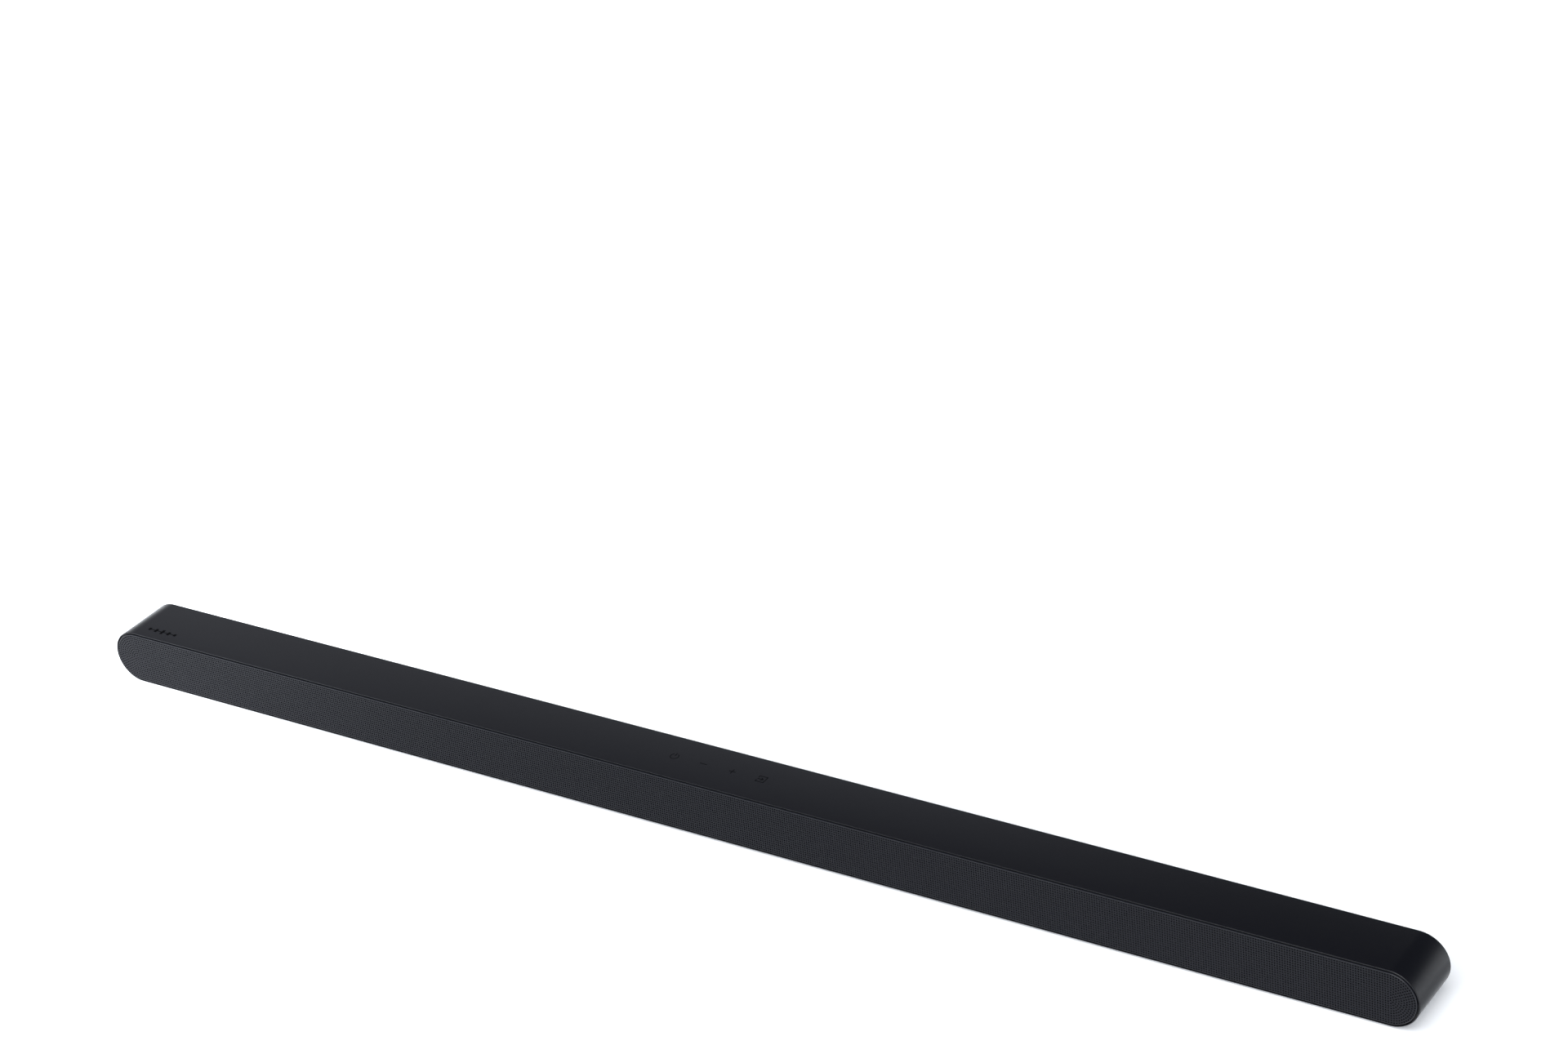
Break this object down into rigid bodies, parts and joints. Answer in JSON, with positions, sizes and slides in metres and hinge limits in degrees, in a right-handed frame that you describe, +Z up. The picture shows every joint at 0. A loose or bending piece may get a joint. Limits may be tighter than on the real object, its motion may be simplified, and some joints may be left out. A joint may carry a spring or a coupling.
{
  "type": "soundbar",
  "caption": "Slim round-ended soundbar with a perforated front grille, rubber feet and a rear socket recess, with speakers and electronics inside.",
  "frame": {"origin": "on the table under the middle of the bar, at the level of the feet", "axes": "+X along the length to the listener's right-hand side of the picture, +Y to the back with the grille facing -Y, +Z up"},
  "size_m": [1.16, 0.052, 0.0475],
  "materials": {
    "casing": "fine satin, dark slate grey",
    "grille": "satin powder coat on perforated steel",
    "black_plastic": "moulded, fine texture",
    "cloth": "acoustic scrim",
    "rubber": "matte",
    "inlay": "gloss black",
    "board": "green solder mask",
    "aluminium": "mill finish",
    "steel": "plated",
    "cone": "woven composite, matt",
    "dome": "coated silk",
    "screw": "black zinc",
    "cable": "flat black sleeve"
  },
  "bodies": {
    "casing": {"outer_shell": "casing", "badge": "inlay", "foot_front_left": "rubber", "foot_front_right": "rubber", "foot_back_left": "rubber", "foot_back_right": "rubber", "front_grille": "grille", "grille_scrim": "cloth", "grille_frame": "black_plastic", "front_baffle": "black_plastic", "rear_cover": "black_plastic", "cover_screw_1": "screw", "cover_screw_2": "screw", "cover_screw_3": "screw", "cover_screw_4": "screw", "cover_screw_5": "screw", "cover_screw_6": "screw", "woofer_1_basket": "black_plastic", "woofer_1_magnet": "steel", "woofer_1_surround": "rubber", "woofer_2_basket": "black_plastic", "woofer_2_magnet": "steel", "woofer_2_surround": "rubber", "woofer_3_basket": "black_plastic", "woofer_3_magnet": "steel", "woofer_3_surround": "rubber", "woofer_4_basket": "black_plastic", "woofer_4_magnet": "steel", "woofer_4_surround": "rubber", "woofer_5_basket": "black_plastic", "woofer_5_magnet": "steel", "woofer_5_surround": "rubber", "woofer_6_basket": "black_plastic", "woofer_6_magnet": "steel", "woofer_6_surround": "rubber", "tweeter_1_body": "black_plastic", "tweeter_2_body": "black_plastic", "tweeter_3_body": "black_plastic", "main_board": "board", "amplifier_board": "board", "heat_sink": "aluminium", "wireless_module": "steel", "touch_board": "board", "indicator_board": "board", "hdmi_socket": "steel", "usb_socket": "steel", "dc_power_socket": "black_plastic", "optical_socket": "black_plastic", "speaker_harness_left": "cable", "speaker_harness_right": "cable"},
    "woofer_1_diaphragm": {"woofer_1_cone": "cone"},
    "woofer_2_diaphragm": {"woofer_2_cone": "cone"},
    "woofer_3_diaphragm": {"woofer_3_cone": "cone"},
    "woofer_4_diaphragm": {"woofer_4_cone": "cone"},
    "woofer_5_diaphragm": {"woofer_5_cone": "cone"},
    "woofer_6_diaphragm": {"woofer_6_cone": "cone"},
    "tweeter_1_diaphragm": {"tweeter_1_dome": "dome"},
    "tweeter_2_diaphragm": {"tweeter_2_dome": "dome"},
    "tweeter_3_diaphragm": {"tweeter_3_dome": "dome"},
    "optical_flap": {"optical_shutter": "black_plastic"}
  },
  "joints": [
    {"name": "woofer_1_travel", "type": "slide", "parent": "casing", "child": "woofer_1_diaphragm", "axis": [0, -1, 0], "range_m": [-0.0015, 0.0015], "stiffness_N_per_m": 900, "deforming": ["woofer_1_surround"]},
    {"name": "woofer_2_travel", "type": "slide", "parent": "casing", "child": "woofer_2_diaphragm", "axis": [0, -1, 0], "range_m": [-0.0015, 0.0015], "stiffness_N_per_m": 900, "deforming": ["woofer_2_surround"]},
    {"name": "woofer_3_travel", "type": "slide", "parent": "casing", "child": "woofer_3_diaphragm", "axis": [0, -1, 0], "range_m": [-0.0015, 0.0015], "stiffness_N_per_m": 900, "deforming": ["woofer_3_surround"]},
    {"name": "woofer_4_travel", "type": "slide", "parent": "casing", "child": "woofer_4_diaphragm", "axis": [0, -1, 0], "range_m": [-0.0015, 0.0015], "stiffness_N_per_m": 900, "deforming": ["woofer_4_surround"]},
    {"name": "woofer_5_travel", "type": "slide", "parent": "casing", "child": "woofer_5_diaphragm", "axis": [0, -1, 0], "range_m": [-0.0015, 0.0015], "stiffness_N_per_m": 900, "deforming": ["woofer_5_surround"]},
    {"name": "woofer_6_travel", "type": "slide", "parent": "casing", "child": "woofer_6_diaphragm", "axis": [0, -1, 0], "range_m": [-0.0015, 0.0015], "stiffness_N_per_m": 900, "deforming": ["woofer_6_surround"]},
    {"name": "tweeter_1_travel", "type": "slide", "parent": "casing", "child": "tweeter_1_diaphragm", "axis": [0, -1, 0], "range_m": [-0.0003, 0.0003], "stiffness_N_per_m": 4000},
    {"name": "tweeter_2_travel", "type": "slide", "parent": "casing", "child": "tweeter_2_diaphragm", "axis": [0, -1, 0], "range_m": [-0.0003, 0.0003], "stiffness_N_per_m": 4000},
    {"name": "tweeter_3_travel", "type": "slide", "parent": "casing", "child": "tweeter_3_diaphragm", "axis": [0, -1, 0], "range_m": [-0.0003, 0.0003], "stiffness_N_per_m": 4000},
    {"name": "optical_shutter_hinge", "type": "hinge", "parent": "casing", "child": "optical_flap", "pos_m": [0.196, 0.0131, 0.0222], "axis": [-1, 0, 0], "range_deg": [0, 85], "stiffness_Nm_per_rad": 0.0008, "springref_deg": -11.46}
  ]
}
